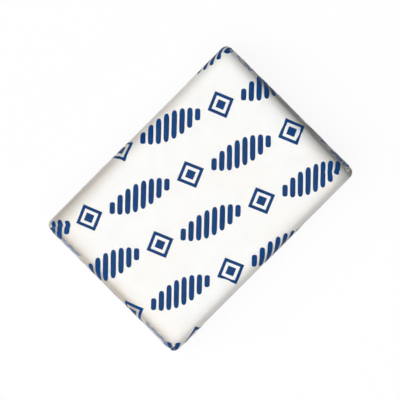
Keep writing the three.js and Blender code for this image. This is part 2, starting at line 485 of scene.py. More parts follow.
    def tone(self, zones: tuple[EdgeZone, ...], points: np.ndarray) -> np.ndarray:
        """Work out how strong the shade painted along the block's edges is.

        Args:
            zones: The edges that have changed.
            points: Points measured from the block's middle.

        Returns:
            Numbers from 0 to 1.
        """
        below, above = self.shade_fade
        on_edge = smooth(points[:, 2], self.wall_rise - below, self.wall_rise + above)
        return on_edge * np.clip(sum(zone.amount(points, self.halves) for zone in zones), 0.0, 1.0)

    def settle(self, points: np.ndarray) -> np.ndarray:
        """Set the block, and what lies on it, on the floor, its upper edges sagged.

        Args:
            points: Points measured from the block's middle.

        Returns:
            The points in the frame.
        """
        settled = points.copy()
        settled[:, 2] -= sum(sag.amount(points, self.halves) for sag in self.sags)
        settled[:, 2] += self.middle
        return settled


@dataclass(frozen=True)
class FlatSheet:
    """The wrapper's sheet before it is folded.

    Its first coordinate runs along the block and its second one round it, from the middle of the
    upper face.

    Attributes:
        skin: Surface of the block.
        spacing: Widest step of the net where it is flat.
        bend_spacing: Widest step of the net where it bends.
        reach: How far the sheet runs past the corner creases.
        lap: Overlap of the sheet's two long edges.
        climb: Distances from another layer's edge over which a layer climbs onto it.
        corner_ease: Stretch from a corner over which the layers part.
    """

    skin: Skin
    spacing: float = 0.5 * MM
    bend_spacing: float = 0.25 * MM
    reach: float = 7.4 * MM
    lap: float = 6.0 * MM
    climb: Pair = (0.6 * MM, 0.15 * MM)
    corner_ease: float = 0.8 * MM

    @property
    def lower_crease(self) -> float:
        """Place round the sheet of the crease at the foot of a wall."""
        return self.skin.flat_half[1] + 2 * self.skin.crease_rise

    @property
    def overlap(self) -> float:
        """Distance from its crease at which a flap meets the edge of the opposite one."""
        return 2 * self.skin.crease_rise - self.reach

    @property
    def half_size(self) -> Pair:
        """Half the sheet's size along and round the block."""
        flat_x, flat_y = self.skin.flat_half
        return flat_x + self.reach, 2 * flat_y + 2 * self.skin.crease_rise + self.lap / 2

    @property
    def map_size(self) -> float:
        """Side of the square that the map of the sheet fills."""
        return 2 * max(self.half_size)

    def net_lines(self) -> tuple[np.ndarray, np.ndarray]:
        """Divide the sheet by lines, denser where it bends or climbs.

        Returns:
            Where the lines cross its length, and where they cross its girth.
        """
        flat_x, flat_y = self.skin.flat_half
        half_length, half_girth = self.half_size
        edge = self.skin.half_edge
        lower = self.lower_crease
        lap_start = lower + flat_y - self.lap / 2
        flat, bent = self.spacing, self.bend_spacing
        along = stations([
            (flat_x - edge, flat),
            (flat_x + self.corner_ease, bent),
            (flat_x + self.overlap - self.climb[0], flat),
            (flat_x + self.overlap - self.climb[1], bent),
            (half_length, flat),
        ])
        around = stations([
            (flat_y - edge, flat),
            (flat_y + edge, bent),
            (lower - edge, flat),
            (lower + edge, bent),
            (lap_start - self.climb[0], flat),
            (lap_start - self.climb[1], bent),
            (half_girth, flat),
        ])
        return along, around

    def folds(self) -> list[tuple[Pair, Pair]]:
        """Find every crease of the sheet, and its border.

        Returns:
            The two ends of each.
        """
        flat_x, flat_y = self.skin.flat_half
        end, border = self.half_size
        lower = self.lower_crease
        lines = []
        for sign in (-1, 1):
            lines += [((-end, sign * v), (end, sign * v)) for v in (flat_y, lower, border)]
            lines += [((sign * u, -border), (sign * u, border)) for u in (flat_x, end)]
            for side in (-1, 1):
                for crease, reach in ((flat_y, -self.reach), (lower, self.reach)):
                    start = (sign * flat_x, side * crease)
                    lines.append((start, (sign * end, side * (crease + reach))))
        return lines

    def cut(self, art: bpy.types.Mesh) -> tuple[np.ndarray, np.ndarray, np.ndarray]:
        """Cut the sheet into triangles along its creases and round its print.

        Args:
            art: The print's flat artwork.

        Returns:
            The corners, the triangles, and which triangles are inked.
        """
        along, girth = self.net_lines()
        half_length, half_girth = self.half_size
        # The triangulation works in millimetres, so that its numbers aren't tiny.
        points = [Vector((u / MM, v / MM)) for v in girth for u in along]
        edges = []
        for start, end in self.folds():
            edges.append((len(points), len(points) + 1))
            points += [Vector(start) / MM, Vector(end) / MM]
        first = len(points)
        points += [vertex.co.xy / MM for vertex in art.vertices]
        # An edge that only one face uses is on a motif's outline.
        uses = np.bincount([loop.edge_index for loop in art.loops], minlength=len(art.edges))
        outline = [edge.vertices for edge in art.edges if uses[edge.index] == 1]
        edges += [(first + start, first + end) for start, end in outline]
        places, _, faces, _, _, _ = delaunay_2d_cdt(points, edges, [], 0, SAME_PLACE / MM, False)

        net = np.array([tuple(place) for place in places]) * MM
        triangles = np.array(faces)
        middles = net[triangles].mean(axis=1)
        # A triangle is inked where a ray dropped on its middle hits the artwork.
        shapes = [face.vertices for face in art.polygons]
        ink = BVHTree.FromPolygons([vertex.co for vertex in art.vertices], shapes)
        down = Vector((0.0, 0.0, -1.0))
        inked = np.array([ink.ray_cast(Vector((u, v, 1.0)), down)[0] is not None for u, v in middles])
        inside = (np.abs(middles[:, 0]) < half_length) & (np.abs(middles[:, 1]) < half_girth)
        used, renumbered = np.unique(triangles[inside], return_inverse=True)
        return net[used], renumbered.reshape(-1, 3), inked[inside]


@dataclass(frozen=True)
class NetCorners:
    """Corners of the sheet's net, with the part of the fold that each of them is in.

    The sheet folds alike at its two ends, on its two sides and, but for the layers, above and
    below. So a corner is described for one of each, and its signs carry it to its own.

    Attributes:
        skin: Surface of the block.
        signs: Which end, side and face each corner belongs to.
        past: Its distance past the corner crease, which is negative on the body of the sheet.
        inner: Its distance from a crease line into a face, which is 0 on a wall.
        height: Its distance from the middle of a wall, measured round the block.
        wall: Whether it is on a wall or past the end of one.
    """

    skin: Skin
    signs: np.ndarray
    past: np.ndarray
    inner: np.ndarray
    height: np.ndarray
    wall: np.ndarray

    @classmethod
    def sort(cls, skin: Skin, net: np.ndarray) -> "NetCorners":
        """Find the part of the fold that each corner is in.

        Args:
            skin: Surface of the block.
            net: The corners on the flat sheet.

        Returns:
            The corners, described.
        """
        flat_x, flat_y = skin.flat_half
        crease = skin.crease_rise
        girth = np.abs(net[:, 1])
        upright = girth - flat_y - crease
        wall = np.abs(upright) < crease
        on_face = np.where(upright < 0, flat_y - girth, girth - flat_y - 2 * crease)
        over = (net[:, 0] < 0, net[:, 1] < 0, upright >= 0)
        signs = np.stack([np.where(negative, -1.0, 1.0) for negative in over], axis=1)
        inner = np.where(wall, 0.0, on_face)
        return cls(skin, signs, np.abs(net[:, 0]) - flat_x, inner, np.abs(upright), wall)

    @property
    def beyond(self) -> np.ndarray:
        """Whether a corner is past the corner crease, on the folded end."""
        return self.past > 0

    @property
    def below(self) -> np.ndarray:
        """Whether a corner is on the lower half."""
        return self.signs[:, 2] < 0

    @property
    def tuck(self) -> np.ndarray:
        """Whether a corner is on a side tuck."""
        return self.beyond & self.wall

    @property
    def gusset(self) -> np.ndarray:
        """Whether a corner is on a gusset, between a side tuck and a flap."""
        return self.beyond & ~self.wall & (self.inner < self.past)

    @property
    def flap(self) -> np.ndarray:
        """Whether a corner is on a flap."""
        return self.beyond & ~self.wall & ~self.gusset

    @property
    def depth(self) -> np.ndarray:
        """How far a corner is inside the crease lines of a face."""
        return np.minimum(-self.past, self.inner)

    @property
    def lean(self) -> np.ndarray:
        """How far a corner on a wall is from the nearer crease line, and 0 elsewhere."""
        return np.where(self.wall, self.skin.crease_rise - self.height, 0.0)

    @property
    def across(self) -> np.ndarray:
        """Distance of a corner on a face from the middle of the width."""
        return self.skin.flat_half[1] - self.inner

    @property
    def run(self) -> np.ndarray:
        """Runs of the corners on the block's skin."""
        parts = [self.tuck | self.gusset, self.flap, self.wall]
        return np.select(parts, [self.past, self.inner, self.past], self.inner + self.past)

    @property
    def rise(self) -> np.ndarray:
        """Rises of the corners on the block's skin."""
        climbs = np.select([self.gusset, self.flap], [-self.inner, -self.past], self.depth)
        return np.where(self.wall, self.height, self.skin.crease_rise + climbs)


class Finish(ABC):
    """A material whose surface each kind of finish wires in its own way.

    Attributes:
        name: The material's name.
    """

    name: ClassVar[str]

    @abstractmethod
    def surface(self, wiring: SurfaceWiring) -> bpy.types.Node:
        """Wire the surface and give its shader."""

    def material(self) -> bpy.types.Material:
        """Build the material.

        Returns:
            The finished material.
        """
        material = bpy.data.materials.new(self.name)
        material.use_nodes = True
        material.node_tree.nodes.clear()
        wiring = SurfaceWiring(material.node_tree)
        wiring.node("ShaderNodeOutputMaterial", {"Surface": self.surface(wiring).outputs[0]})
        return material


@dataclass(frozen=True)
class VinylFinish(Finish):
    """Soft ivory-white vinyl, slightly waxy, with faint warm patches, and grey and beige shade painted
    along its edges.

    Attributes:
        white: Its plain colour.
        warm: Colour of its patches.
        painted_shades: Colours of the shade painted along its edges, by the mark that says how strong each
            is.
        patch_scale: Scale of the patches.
        patch_detail: Detail of the patches.
        patch_range: Noise at which a patch sets in, and at which it is full.
        tone_range: Least and greatest strength of the painted edge shade, from patch to patch.
        grain_scale: Scale of the grain.
        grain_detail: Detail of the grain.
        grain_depth: Height of the grain.
        grain_strength: How strongly the grain shows.
        roughness: Lowest and highest roughness.
        ior: Refractive index.
        glow: Share of the light that goes through the surface layer.
        glow_colour: How far red, green and blue light go there, against each other.
        glow_depth: How deep the light goes.
    """

    name: ClassVar[str] = "soft_vinyl"
    white: Colour = (0.935, 0.935, 0.915)
    warm: Colour = (0.94, 0.91, 0.87)
    painted_shades: tuple[tuple[Mark, Colour], ...] = (
        (Mark.BEIGE_SHADE, (0.5, 0.44, 0.36)),
        (Mark.GREY_SHADE, (0.2, 0.205, 0.19)),
    )
    patch_scale: float = 90.0
    patch_detail: float = 3.0
    patch_range: Pair = (0.42, 0.68)
    tone_range: Pair = (0.85, 1.15)
    grain_scale: float = 2600.0
    grain_detail: float = 4.0
    grain_depth: float = 0.012 * MM
    grain_strength: float = 0.5
    roughness: Pair = (0.5, 0.62)
    ior: float = 1.5
    glow: float = 0.15
    glow_colour: Colour = (1.0, 0.9, 0.7)
    glow_depth: float = 0.6 * MM

    def surface(self, wiring: SurfaceWiring) -> bpy.types.Node:
        """Wire the vinyl.

        Args:
            wiring: The material's wiring.

        Returns:
            Its shader.
        """
        place = wiring.place()
        patches = wiring.noise(place, self.patch_scale, self.patch_detail)
        in_patch = wiring.spread(patches, self.patch_range, (0.0, 1.0))
        colour = wiring.tint(in_patch, (*self.white, 1.0), self.warm)
        unevenness = wiring.spread(patches, NOISE_SPAN, self.tone_range)
        # Grey and beige shade is painted along the edges, its strength uneven from patch to patch.
        for mark, tone in self.painted_shades:
            colour = wiring.tint(wiring.product(wiring.mark(mark), unevenness), colour, tone)
        grain = wiring.noise(place, self.grain_scale, self.grain_detail)
        bump = {"Height": grain, "Distance": self.grain_depth, "Strength": self.grain_strength}
        return wiring.node(
            "ShaderNodeBsdfPrincipled",
            {
                "Base Color": colour,
                "Roughness": wiring.spread(grain, NOISE_SPAN, self.roughness),
                "IOR": self.ior,
                "Subsurface Weight": self.glow,
                "Subsurface Radius": self.glow_colour,
                "Subsurface Scale": self.glow_depth,
                "Normal": wiring.node("ShaderNodeBump", bump).outputs[0],
            },
        )


@dataclass(frozen=True)
class ClearFilmFinish(Finish):
    """Clear glossy packing film, whitened along its folds and a little milky where it is sealed.

    Attributes:
        sheet: The flat sheet, whose folds are whitened.
        ior: Refractive index.
        most_shine: Most that the two sides of a layer reflect at a glancing angle.
        shade_dulled_shine: The same over the block's painted grey shade, where the shine is dulled to keep
            that shade dark.
        roughness: Lowest and highest roughness.
        haze: Milkiness of the plain film.
        sealed_haze: Milkiness where it is sealed.
        crease_haze: Milkiness along a fold or a cut edge.
        crease_width: Half the width of a whitened line, at full strength and where it ends.
        crease_start: Distance past the corner creases at which the other creases set in.
        haze_noise: Ripple at which the milkiness is least, and at which it is greatest.
        haze_range: Least and greatest share of the milkiness.
        haze_colour: Colour of the haze.
        ripple_scale: Scale of the ripples.
        ripple_detail: Detail of the ripples.
        ripple_depth: Height of the ripples.
        ripple_strength: How strongly the ripples show.
        scratch_scale: Scale of the fine streaks, along them and across them.
        scratch_detail: Detail of the streaks.
        scratch_range: Noise at which a streak sets in, and at which it is full.
    """

    name: ClassVar[str] = "clear_film"
    sheet: FlatSheet
    ior: float = 1.4
    most_shine: float = 0.22
    shade_dulled_shine: float = 0.02
    roughness: Pair = (0.05, 0.13)
    haze: float = 0.01
    sealed_haze: float = 0.035
    crease_haze: float = 0.4
    crease_width: Pair = (0.02 * MM, 0.09 * MM)
    crease_start: float = 0.1 * MM
    haze_noise: Pair = (0.35, 0.7)
    haze_range: Pair = (0.5, 1.5)
    haze_colour: Colour = (0.85, 0.87, 0.87)
    ripple_scale: float = 420.0
    ripple_detail: float = 3.0
    ripple_depth: float = 0.02 * MM
    ripple_strength: float = 0.6
    scratch_scale: Pair = (150.0, 2400.0)
    scratch_detail: float = 3.0
    scratch_range: Pair = (0.45, 0.75)

    def crease(self, wiring: SurfaceWiring, place: Socket) -> Socket:
        """Wire the lines along the folds and cut edges.

        Args:
            wiring: The material's wiring.
            place: Place on the flat sheet, from its middle.

        Returns:
            1 on a fold or a cut edge, 0 away from it.
        """
        flat_x, flat_y = self.sheet.skin.flat_half
        half_length, half_girth = self.sheet.half_size
        size = wiring.split(wiring.vector("ABSOLUTE", place))
        past = wiring.math("SUBTRACT", size[0], flat_x)
        from_end = wiring.math("SUBTRACT", half_length, size[0])
        nearest = wiring.math("MINIMUM", from_end, wiring.math("SUBTRACT", half_girth, size[1]))
        body = wiring.spread(past, (0.0, self.crease_start), (self.sheet.reach, 0.0))
        for line, sign in ((flat_y, -1.0), (self.sheet.lower_crease, 1.0)):
            inner = wiring.product(wiring.math("SUBTRACT", size[1], line), sign)
            off_slant = wiring.math("ABSOLUTE", wiring.math("SUBTRACT", past, inner))
            slant = wiring.product(off_slant, math.sqrt(0.5))
            fold = wiring.math("MINIMUM", slant, wiring.math("ABSOLUTE", inner))
            nearest = wiring.math("MINIMUM", nearest, wiring.math("ADD", fold, body))
        return wiring.spread(nearest, self.crease_width, (1.0, 0.0))

    def shiny(self, wiring: SurfaceWiring, place: Socket, ripple: Socket) -> bpy.types.Node:
        """Wire the film without its haze, clear and shining on its outer side only.

        Args:
            wiring: The material's wiring.
            place: Place on the flat sheet, from its middle.
            ripple: The ripples.

        Returns:
            Its shader.
        """
        bump = {"Height": ripple, "Distance": self.ripple_depth, "Strength": self.ripple_strength}
        normal = wiring.node("ShaderNodeBump", bump).outputs[0]
        fresnel = wiring.node("ShaderNodeFresnel", {"IOR": self.ior, "Normal": normal}).outputs[0]
        # Over the block's painted grey shade the shine is dulled, so that the shade stays dark.
        most_shine = wiring.spread(wiring.mark(Mark.SHADE_DULLED), (0.0, 1.0), (self.most_shine, self.shade_dulled_shine))
        # The outer side shines for the inner side of the layer too.
        two_sides = wiring.math("MINIMUM", wiring.product(fresnel, 2.0), most_shine)
        inner_side = wiring.node("ShaderNodeNewGeometry").outputs["Backfacing"]
        shine = wiring.product(two_sides, wiring.math("SUBTRACT", 1.0, inner_side))
        streaks = wiring.node("ShaderNodeMapping", {0: place, "Scale": (*self.scratch_scale, 1.0)})
        scratch = wiring.noise(streaks.outputs[0], 1.0, self.scratch_detail)
        rough = wiring.spread(scratch, self.scratch_range, self.roughness)
        gloss = {"Color": WHITE, "Roughness": rough, "Normal": normal}
        return wiring.mixed(
            shine,
            wiring.node("ShaderNodeBsdfTransparent", {"Color": WHITE}),
            wiring.node("ShaderNodeBsdfGlossy", gloss),
        )

    def surface(self, wiring: SurfaceWiring) -> bpy.types.Node:
        """Wire the film.

        Args:
            wiring: The material's wiring.

        Returns:
            Its shader.
        """
        flat = wiring.node("ShaderNodeUVMap", uv_map=SHEET_MAP).outputs[0]
        place = wiring.scaled(wiring.vector("SUBTRACT", flat, (0.5, 0.5, 0.0)), self.sheet.map_size)
        ripple = wiring.noise(wiring.place(), self.ripple_scale, self.ripple_detail)
        milk = wiring.spread(wiring.mark(Mark.SEALED), (0.0, 1.0), (self.haze, self.sealed_haze))
        line = wiring.product(self.crease(wiring, place), self.crease_haze)
        unevenness = wiring.spread(ripple, self.haze_noise, self.haze_range)
        haze = wiring.product(wiring.math("ADD", milk, line), unevenness)
        cloud = wiring.node("ShaderNodeBsdfDiffuse", {"Color": (*self.haze_colour, 1.0)})
        return wiring.mixed(haze, self.shiny(wiring, place, ripple), cloud)


@dataclass(frozen=True)
class InkFinish(Finish):
    """Blue printing ink, a thin glossy coat with a slightly uneven density.

    Attributes:
        blue: Its plain colour.
        dark: Its colour where it is densest.
        density_scale: Scale of the unevenness.
        density_detail: Detail of the unevenness.
        density_range: Noise at which the ink starts to darken, and at which it is darkest.
        roughness: Lowest and highest roughness.
        ior: Refractive index, low for a faint gloss.
    """

    name: ClassVar[str] = "blue_ink"
    blue: Colour = (0.0, 0.054, 0.205)
    dark: Colour = (0.0, 0.03, 0.13)
    density_scale: float = 900.0
    density_detail: float = 4.0
    density_range: Pair = (0.4, 0.75)
    roughness: Pair = (0.22, 0.34)
    ior: float = 1.22

    def surface(self, wiring: SurfaceWiring) -> bpy.types.Node:
        """Wire the ink.

        Args:
            wiring: The material's wiring.

        Returns:
            Its shader.
        """
        density = wiring.noise(wiring.place(), self.density_scale, self.density_detail)
        dense = wiring.spread(density, self.density_range, (0.0, 1.0))
        return wiring.node(
            "ShaderNodeBsdfPrincipled",
            {
                "Base Color": wiring.tint(dense, (*self.blue, 1.0), self.dark),
                "Roughness": wiring.spread(density, NOISE_SPAN, self.roughness),
                "IOR": self.ior,
            },
        )


@dataclass(frozen=True)
class FloorFinish(Finish):
    """Pale floor that shows as white, keeps a faint shadow and throws little light back up.

    Attributes:
        grey: Brightness with which it lights the block.
        white: Brightness with which it is seen.
        glow: Share of pure white in what is seen of it.
        cloud_scale: Scale of its faint clouds.
        cloud_detail: Detail of the clouds.
        cloud_range: Least and greatest brightness of the clouds.
    """

    name: ClassVar[str] = "pale_floor"
    grey: float = 0.4
    white: float = 0.95
    glow: float = 0.9
    cloud_scale: float = 9.0
    cloud_detail: float = 2.0
    cloud_range: Pair = (0.99, 1.0)

    def surface(self, wiring: SurfaceWiring) -> bpy.types.Node:
        """Wire the floor.

        Args:
            wiring: The material's wiring.

        Returns:
            Its shader.
        """
        noise = wiring.noise(wiring.place(), self.cloud_scale, self.cloud_detail)
        cloud = wiring.spread(noise, NOISE_SPAN, self.cloud_range)
        seen = wiring.background_rays()
        bright = wiring.spread(seen, (0.0, 1.0), (self.grey, self.white))
        return wiring.mixed(
            wiring.product(seen, self.glow),
            wiring.node("ShaderNodeBsdfDiffuse", {"Color": wiring.product(bright, cloud)}),
            wiring.node("ShaderNodeEmission", {"Color": WHITE, "Strength": 1.0}),
        )


@dataclass
class VinylBlock:
    """The moulded vinyl block.

    Attributes:
        skin: Its surface.
        facet: Widest facet.
        core_offset: How far outside the skin it is made, so that it fills its film.
    """

    skin: Skin
    facet: float = 0.32 * MM
    core_offset: float = 0.06 * MM

    def net(self) -> bpy.types.Mesh:
        """Make a cube from -1 to 1 with as many corners as the block needs.

        Returns:
            The cube, dressed in vinyl.
        """
        halves = (*self.skin.flat_half, self.skin.crease_rise)
        names = ("Vertices X", "Vertices Y", "Vertices Z")
        counts = {name: 2.0 * math.ceil(half / self.facet) + 1.0 for name, half in zip(names, halves)}
        wiring = ShapeWiring("box_net", counts)
        cuts = {name: wiring.inputs[name] for name in names}
        box = wiring.node("GeometryNodeMeshCube", {"Size": (2.0, 2.0, 2.0), **cuts})
        wiring.finish(box.outputs[0], VinylFinish().material())
        return wiring.run(bpy.data.meshes.new("net"))

    def build(self) -> bpy.types.Object:
        """Make the block.

        Returns:
            The block, dressed and riding on the body.
        """
        mesh = self.net()
        net = np.empty(len(mesh.vertices) * 3)
        mesh.vertices.foreach_get("co", net)
        net = net.reshape(-1, 3)
        size = np.abs(net)
        flat_x, flat_y = self.skin.flat_half
        from_end = flat_x * (1.0 - size[:, 0])
        from_side = flat_y * (1.0 - size[:, 1])
        rise = self.skin.crease_rise * size[:, 2] + np.minimum(from_end, from_side)
        points, _ = self.skin.place(from_side - from_end, rise, np.full(len(net), self.core_offset))
        points = points * np.where(net < 0.0, -1.0, 1.0)
        # Grey and beige shade painted along the upper edges, kept as marks for the vinyl's colour.
        zones = {Mark.GREY_SHADE: self.skin.painted_grey_shade, Mark.BEIGE_SHADE: self.skin.painted_beige_shade}
        keep_marks(mesh, {mark: self.skin.tone(edges, points) for mark, edges in zones.items()})
        mesh.vertices.foreach_set("co", self.skin.settle(points).ravel())
        mesh.shade_smooth()
        mesh.update()
        block = add_object("vinyl_block", mesh)
        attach(block, BODY)
        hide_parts("eraser_block")
        return block


@dataclass
class PrintRepeat:
    """The print's flat artwork: rows of hatching and lozenges, every other row shifted by half.

    Attributes:
        ink: Material of the artwork.
        sizes: Inputs of the tree that draws it.
        columns: Repeats along a row.
        rows: Number of rows.
        bars: Strokes in one hatching.
        bar_steps: Steps along a stroke.
        roundness: How late a stroke narrows towards its tips.
        lozenge_corners: Corners of a lozenge.
    """

    ink: bpy.types.Material
    sizes: dict[str, float] = field(default_factory=lambda: {
        "Repeat": 17.6 * MM,
        "Row Pitch": 8.4 * MM,
        "Slant": math.radians(-22.0),
        "Bar Pitch": 1.35 * MM,
        "Bar Length": 4.6 * MM,
        "Bar Width": 0.86 * MM,
        "Bar Lean": math.radians(-24.0),
        "Shortest": 0.42,
        "Lozenge": 2.35 * MM,
        "Frame Width": 0.72 * MM,
        "Core": 0.95 * MM,
    })
    columns: int = 8
    rows: int = 13
    bars: int = 8
    bar_steps: int = 16
    roundness: float = 8.0
    lozenge_corners: int = 4

    @staticmethod
    def unit_grid(wiring: ShapeWiring, across: int, along: int) -> Socket:
        """Add a grid of one by one, with numbers of corners across and along."""
        inputs = {"Size X": 1.0, "Size Y": 1.0, "Vertices X": across, "Vertices Y": along}
        return wiring.node("GeometryNodeMeshGrid", inputs).outputs[0]

    def stroke(self, wiring: ShapeWiring) -> Socket:
        """Wire one upright stroke with rounded tips.

        Args:
            wiring: The tree.

        Returns:
            The stroke as flat geometry.
        """
        size = wiring.inputs
        place = wiring.split(wiring.position())
        along = wiring.math("SINE", wiring.product(place[1], math.pi))
        narrowing = wiring.math("POWER", wiring.math("ABSOLUTE", along), self.roundness)
        body = wiring.math("SQRT", wiring.math("SUBTRACT", 1.0, narrowing))
        drawn = wiring.joined(
            wiring.product(body, size["Bar Width"], place[0]),
            wiring.product(along, 0.5, size["Bar Length"]),
        )
        return wiring.moved(self.unit_grid(wiring, 2, self.bar_steps + 1), Position=drawn)

    def hatching(self, wiring: ShapeWiring) -> Socket:
        """Wire one hatching, a row of leaning strokes that are longest in the middle.

        Args:
            wiring: The tree.

        Returns:
            The hatching as flat geometry.
        """
        size = wiring.inputs
        pitch = wiring.joined(size["Bar Pitch"])
        first = wiring.scaled(pitch, (1 - self.bars) / 2)
        row = wiring.node(
            "GeometryNodeMeshLine", {"Count": self.bars, "Start Location": first, "Offset": pitch}
        )
        number = wiring.node("GeometryNodeInputIndex").outputs[0]
        off_middle = wiring.spread(number, (0.0, self.bars - 1.0), (-1.0, 1.0))
        loss = wiring.product(off_middle, off_middle, wiring.math("SUBTRACT", 1.0, size["Shortest"]))
        placed = wiring.node(
            "GeometryNodeInstanceOnPoints",
            {
                "Points": row.outputs[0],
                "Instance": self.stroke(wiring),
                "Rotation": wiring.joined(z=size["Bar Lean"]),
                "Scale": wiring.joined(1.0, wiring.math("SUBTRACT", 1.0, loss), 1.0),
            },
        )
        return wiring.node("GeometryNodeRealizeInstances", {0: placed.outputs[0]}).outputs[0]

    def lozenge(self, wiring: ShapeWiring) -> Socket:
        """Wire one lozenge, an open frame round a solid core.

        Args:
            wiring: The tree.

        Returns:
            The lozenge as flat geometry.
        """
        size = wiring.inputs
        place = wiring.split(wiring.position())
        angle = wiring.product(place[0], math.tau)
        band = wiring.product(wiring.math("ADD", place[1], 0.5), size["Frame Width"])
        radius = wiring.math("SUBTRACT", size["Lozenge"], band)
        corner = wiring.joined(
            wiring.product(radius, wiring.math("COSINE", angle)),
            wiring.product(radius, wiring.math("SINE", angle)),
        )
        border = wiring.moved(self.unit_grid(wiring, self.lozenge_corners + 1, 2), Position=corner)
        inputs = {"Vertices": self.lozenge_corners, "Radius": size["Core"]}
        core = wiring.node("GeometryNodeMeshCircle", inputs, fill_type="NGON")
        return wiring.union(border, core.outputs[0])

    def artwork(self) -> bpy.types.Mesh:
        """Lay the motifs out over more than the whole sheet.

        Returns:
            The flat artwork, round the origin.
        """
        wiring = ShapeWiring("print_repeat", self.sizes)
        size = wiring.inputs
        lattice = wiring.node(
            "GeometryNodeMeshGrid",
            {
                "Size X": wiring.product(size["Repeat"], float(self.columns)),
                "Size Y": wiring.product(size["Row Pitch"], float(self.rows)),
                "Vertices X": self.columns + 1,
                "Vertices Y": self.rows + 1,
            },
        )
        height = wiring.math("DIVIDE", wiring.split(wiring.position())[1], size["Row Pitch"])
        row = wiring.math("ROUND", wiring.math("ADD", height, 0.5))
        shift = wiring.product(wiring.math("FLOORED_MODULO", row, 2.0), size["Repeat"], 0.5)
        places = wiring.moved(lattice.outputs[0], Offset=wiring.joined(shift))
        half_repeat = wiring.joined(wiring.product(size["Repeat"], 0.5))
        between = wiring.moved(places, Offset=half_repeat)
        rows = ((places, self.hatching(wiring)), (between, self.lozenge(wiring)))
        motifs = [
            wiring.node("GeometryNodeInstanceOnPoints", {0: points, 2: motif}).outputs[0]
            for points, motif in rows
        ]
        slant = {"Geometry": wiring.union(*motifs), "Rotation": wiring.joined(z=size["Slant"])}
        wiring.finish(wiring.node("GeometryNodeTransform", slant).outputs[0], self.ink)
        return wiring.run(bpy.data.meshes.new("sheet_origin"))


@dataclass
class Crinkles:
    """Crinkles of loose film: soft creases, and a fan of folds from each corner of the block.

    Attributes:
        skin: Surface of the block.
        sizes: Inputs of the tree that makes them.
        soft_sharpness: How narrow the soft creases are.
        fan_sharpness: How narrow the folds of a fan are.
        fan_start: Distances from a corner over which its fan sets in.
        fan_reach: Distances from a corner over which its fan dies out.
        face_share: Share of the crinkles that is left where the film lies on a face.
        noise_detail: Detail of the noise that makes them.
        noise_distortion: Distortion of that noise.
        corner_seeds: What sets the fans of the two ends, sides and faces apart.
    """

    skin: Skin
    sizes: dict[str, float] = field(default_factory=lambda: {
        "Depth": 0.16 * MM,
        "Grain": 300.0,
        "Fan Depth": 0.16 * MM,
        "Fan Folds": 4.0,
        "Seed": 7.0,
    })
    soft_sharpness: float = 3.0
    fan_sharpness: float = 5.0
    fan_start: Pair = (1.5 * MM, 3.5 * MM)
    fan_reach: Pair = (3.0 * MM, 9.0 * MM)
    face_share: float = 0.25
    noise_detail: float = 1.5
    noise_distortion: float = 0.4
    corner_seeds: tuple[float, float, float] = (1.7, 3.1, 5.3)

    def ridged(
        self, wiring: ShapeWiring, vector: Socket, scale: Socket, seed: Socket, sharpness: float
    ) -> Socket:
        """Wire noise that forms ridges where it crosses its middle value.

        Args:
            wiring: The tree.
            vector: Where the noise is taken.
            scale: Its scale.
            seed: Moves it elsewhere.
            sharpness: How narrow the ridges are.

        Returns:
            The height of the ridges, from 0 to 1.
        """
        inputs = {
            "Vector": vector,
            "W": seed,
            "Scale": scale,
            "Detail": self.noise_detail,
            "Distortion": self.noise_distortion,
        }
        noise = wiring.node("ShaderNodeTexNoise", inputs, noise_dimensions="4D").outputs[0]
        off_middle = wiring.math("ABSOLUTE", wiring.math("SUBTRACT", noise, 0.5))
        slope = wiring.spread(off_middle, (0.0, 1.0 / sharpness), (1.0, 0.0))
        return wiring.product(slope, slope)

    def fan(self, wiring: ShapeWiring) -> Socket:
        """Wire the folds that spread from each corner of the block.

        Args:
            wiring: The tree.

        Returns:
            The height of the folds, from 0 to 1.
        """
        from_middle = wiring.vector("SUBTRACT", wiring.position(), (0.0, 0.0, self.skin.middle))
        corner = Vector(self.skin.halves) - Vector((1.0, 1.0, 1.0)) * self.skin.edge_radius
        from_corner = wiring.vector("SUBTRACT", wiring.vector("ABSOLUTE", from_middle), corner)
        ray = wiring.vector("NORMALIZE", from_corner)
        distance = wiring.vector("LENGTH", from_corner)
        which = wiring.vector("DOT_PRODUCT", wiring.vector("SIGN", from_middle), self.corner_seeds)
        seed = wiring.math("ADD", which, wiring.inputs["Seed"])
        # Taken along the ray alone, the noise makes folds that run straight out from the corner.
        folds = self.ridged(wiring, ray, wiring.inputs["Fan Folds"], seed, self.fan_sharpness)
        near = wiring.spread(distance, self.fan_reach, (1.0, 0.0))
        clear_of_tip = wiring.spread(distance, self.fan_start, (0.0, 1.0))
        return wiring.product(folds, wiring.product(near, clear_of_tip))

    def crinkled(self, mesh: bpy.types.Mesh, film: bpy.types.Material) -> bpy.types.Mesh:
        """Lift loose film off the block.

        Args:
            mesh: The folded film, which keeps its slack and the directions that it faces.
            film: Its material.

        Returns:
            The crinkled film.
        """
        wiring = ShapeWiring("film_crinkle", self.sizes)
        size = wiring.inputs
        stored = "GeometryNodeInputNamedAttribute"
        slack = wiring.node(stored, {"Name": Mark.SLACK.value}, data_type="FLOAT").outputs[0]
        facing = wiring.node(stored, {"Name": FACING}, data_type="FLOAT_VECTOR").outputs[0]
        upward = wiring.math("ABSOLUTE", wiring.split(facing)[2])
        slack = wiring.product(slack, wiring.spread(upward, (0.0, 1.0), (1.0, self.face_share)))
        soft = self.ridged(wiring, wiring.position(), size["Grain"], size["Seed"], self.soft_sharpness)
        soft_lift = wiring.product(soft, slack, size["Depth"])
        fan_lift = wiring.product(self.fan(wiring), slack, size["Fan Depth"])
        push = wiring.scaled(facing, wiring.math("ADD", soft_lift, fan_lift))
        wiring.finish(wiring.moved(size["Geometry"], Offset=push), film)
        return wiring.run(mesh)


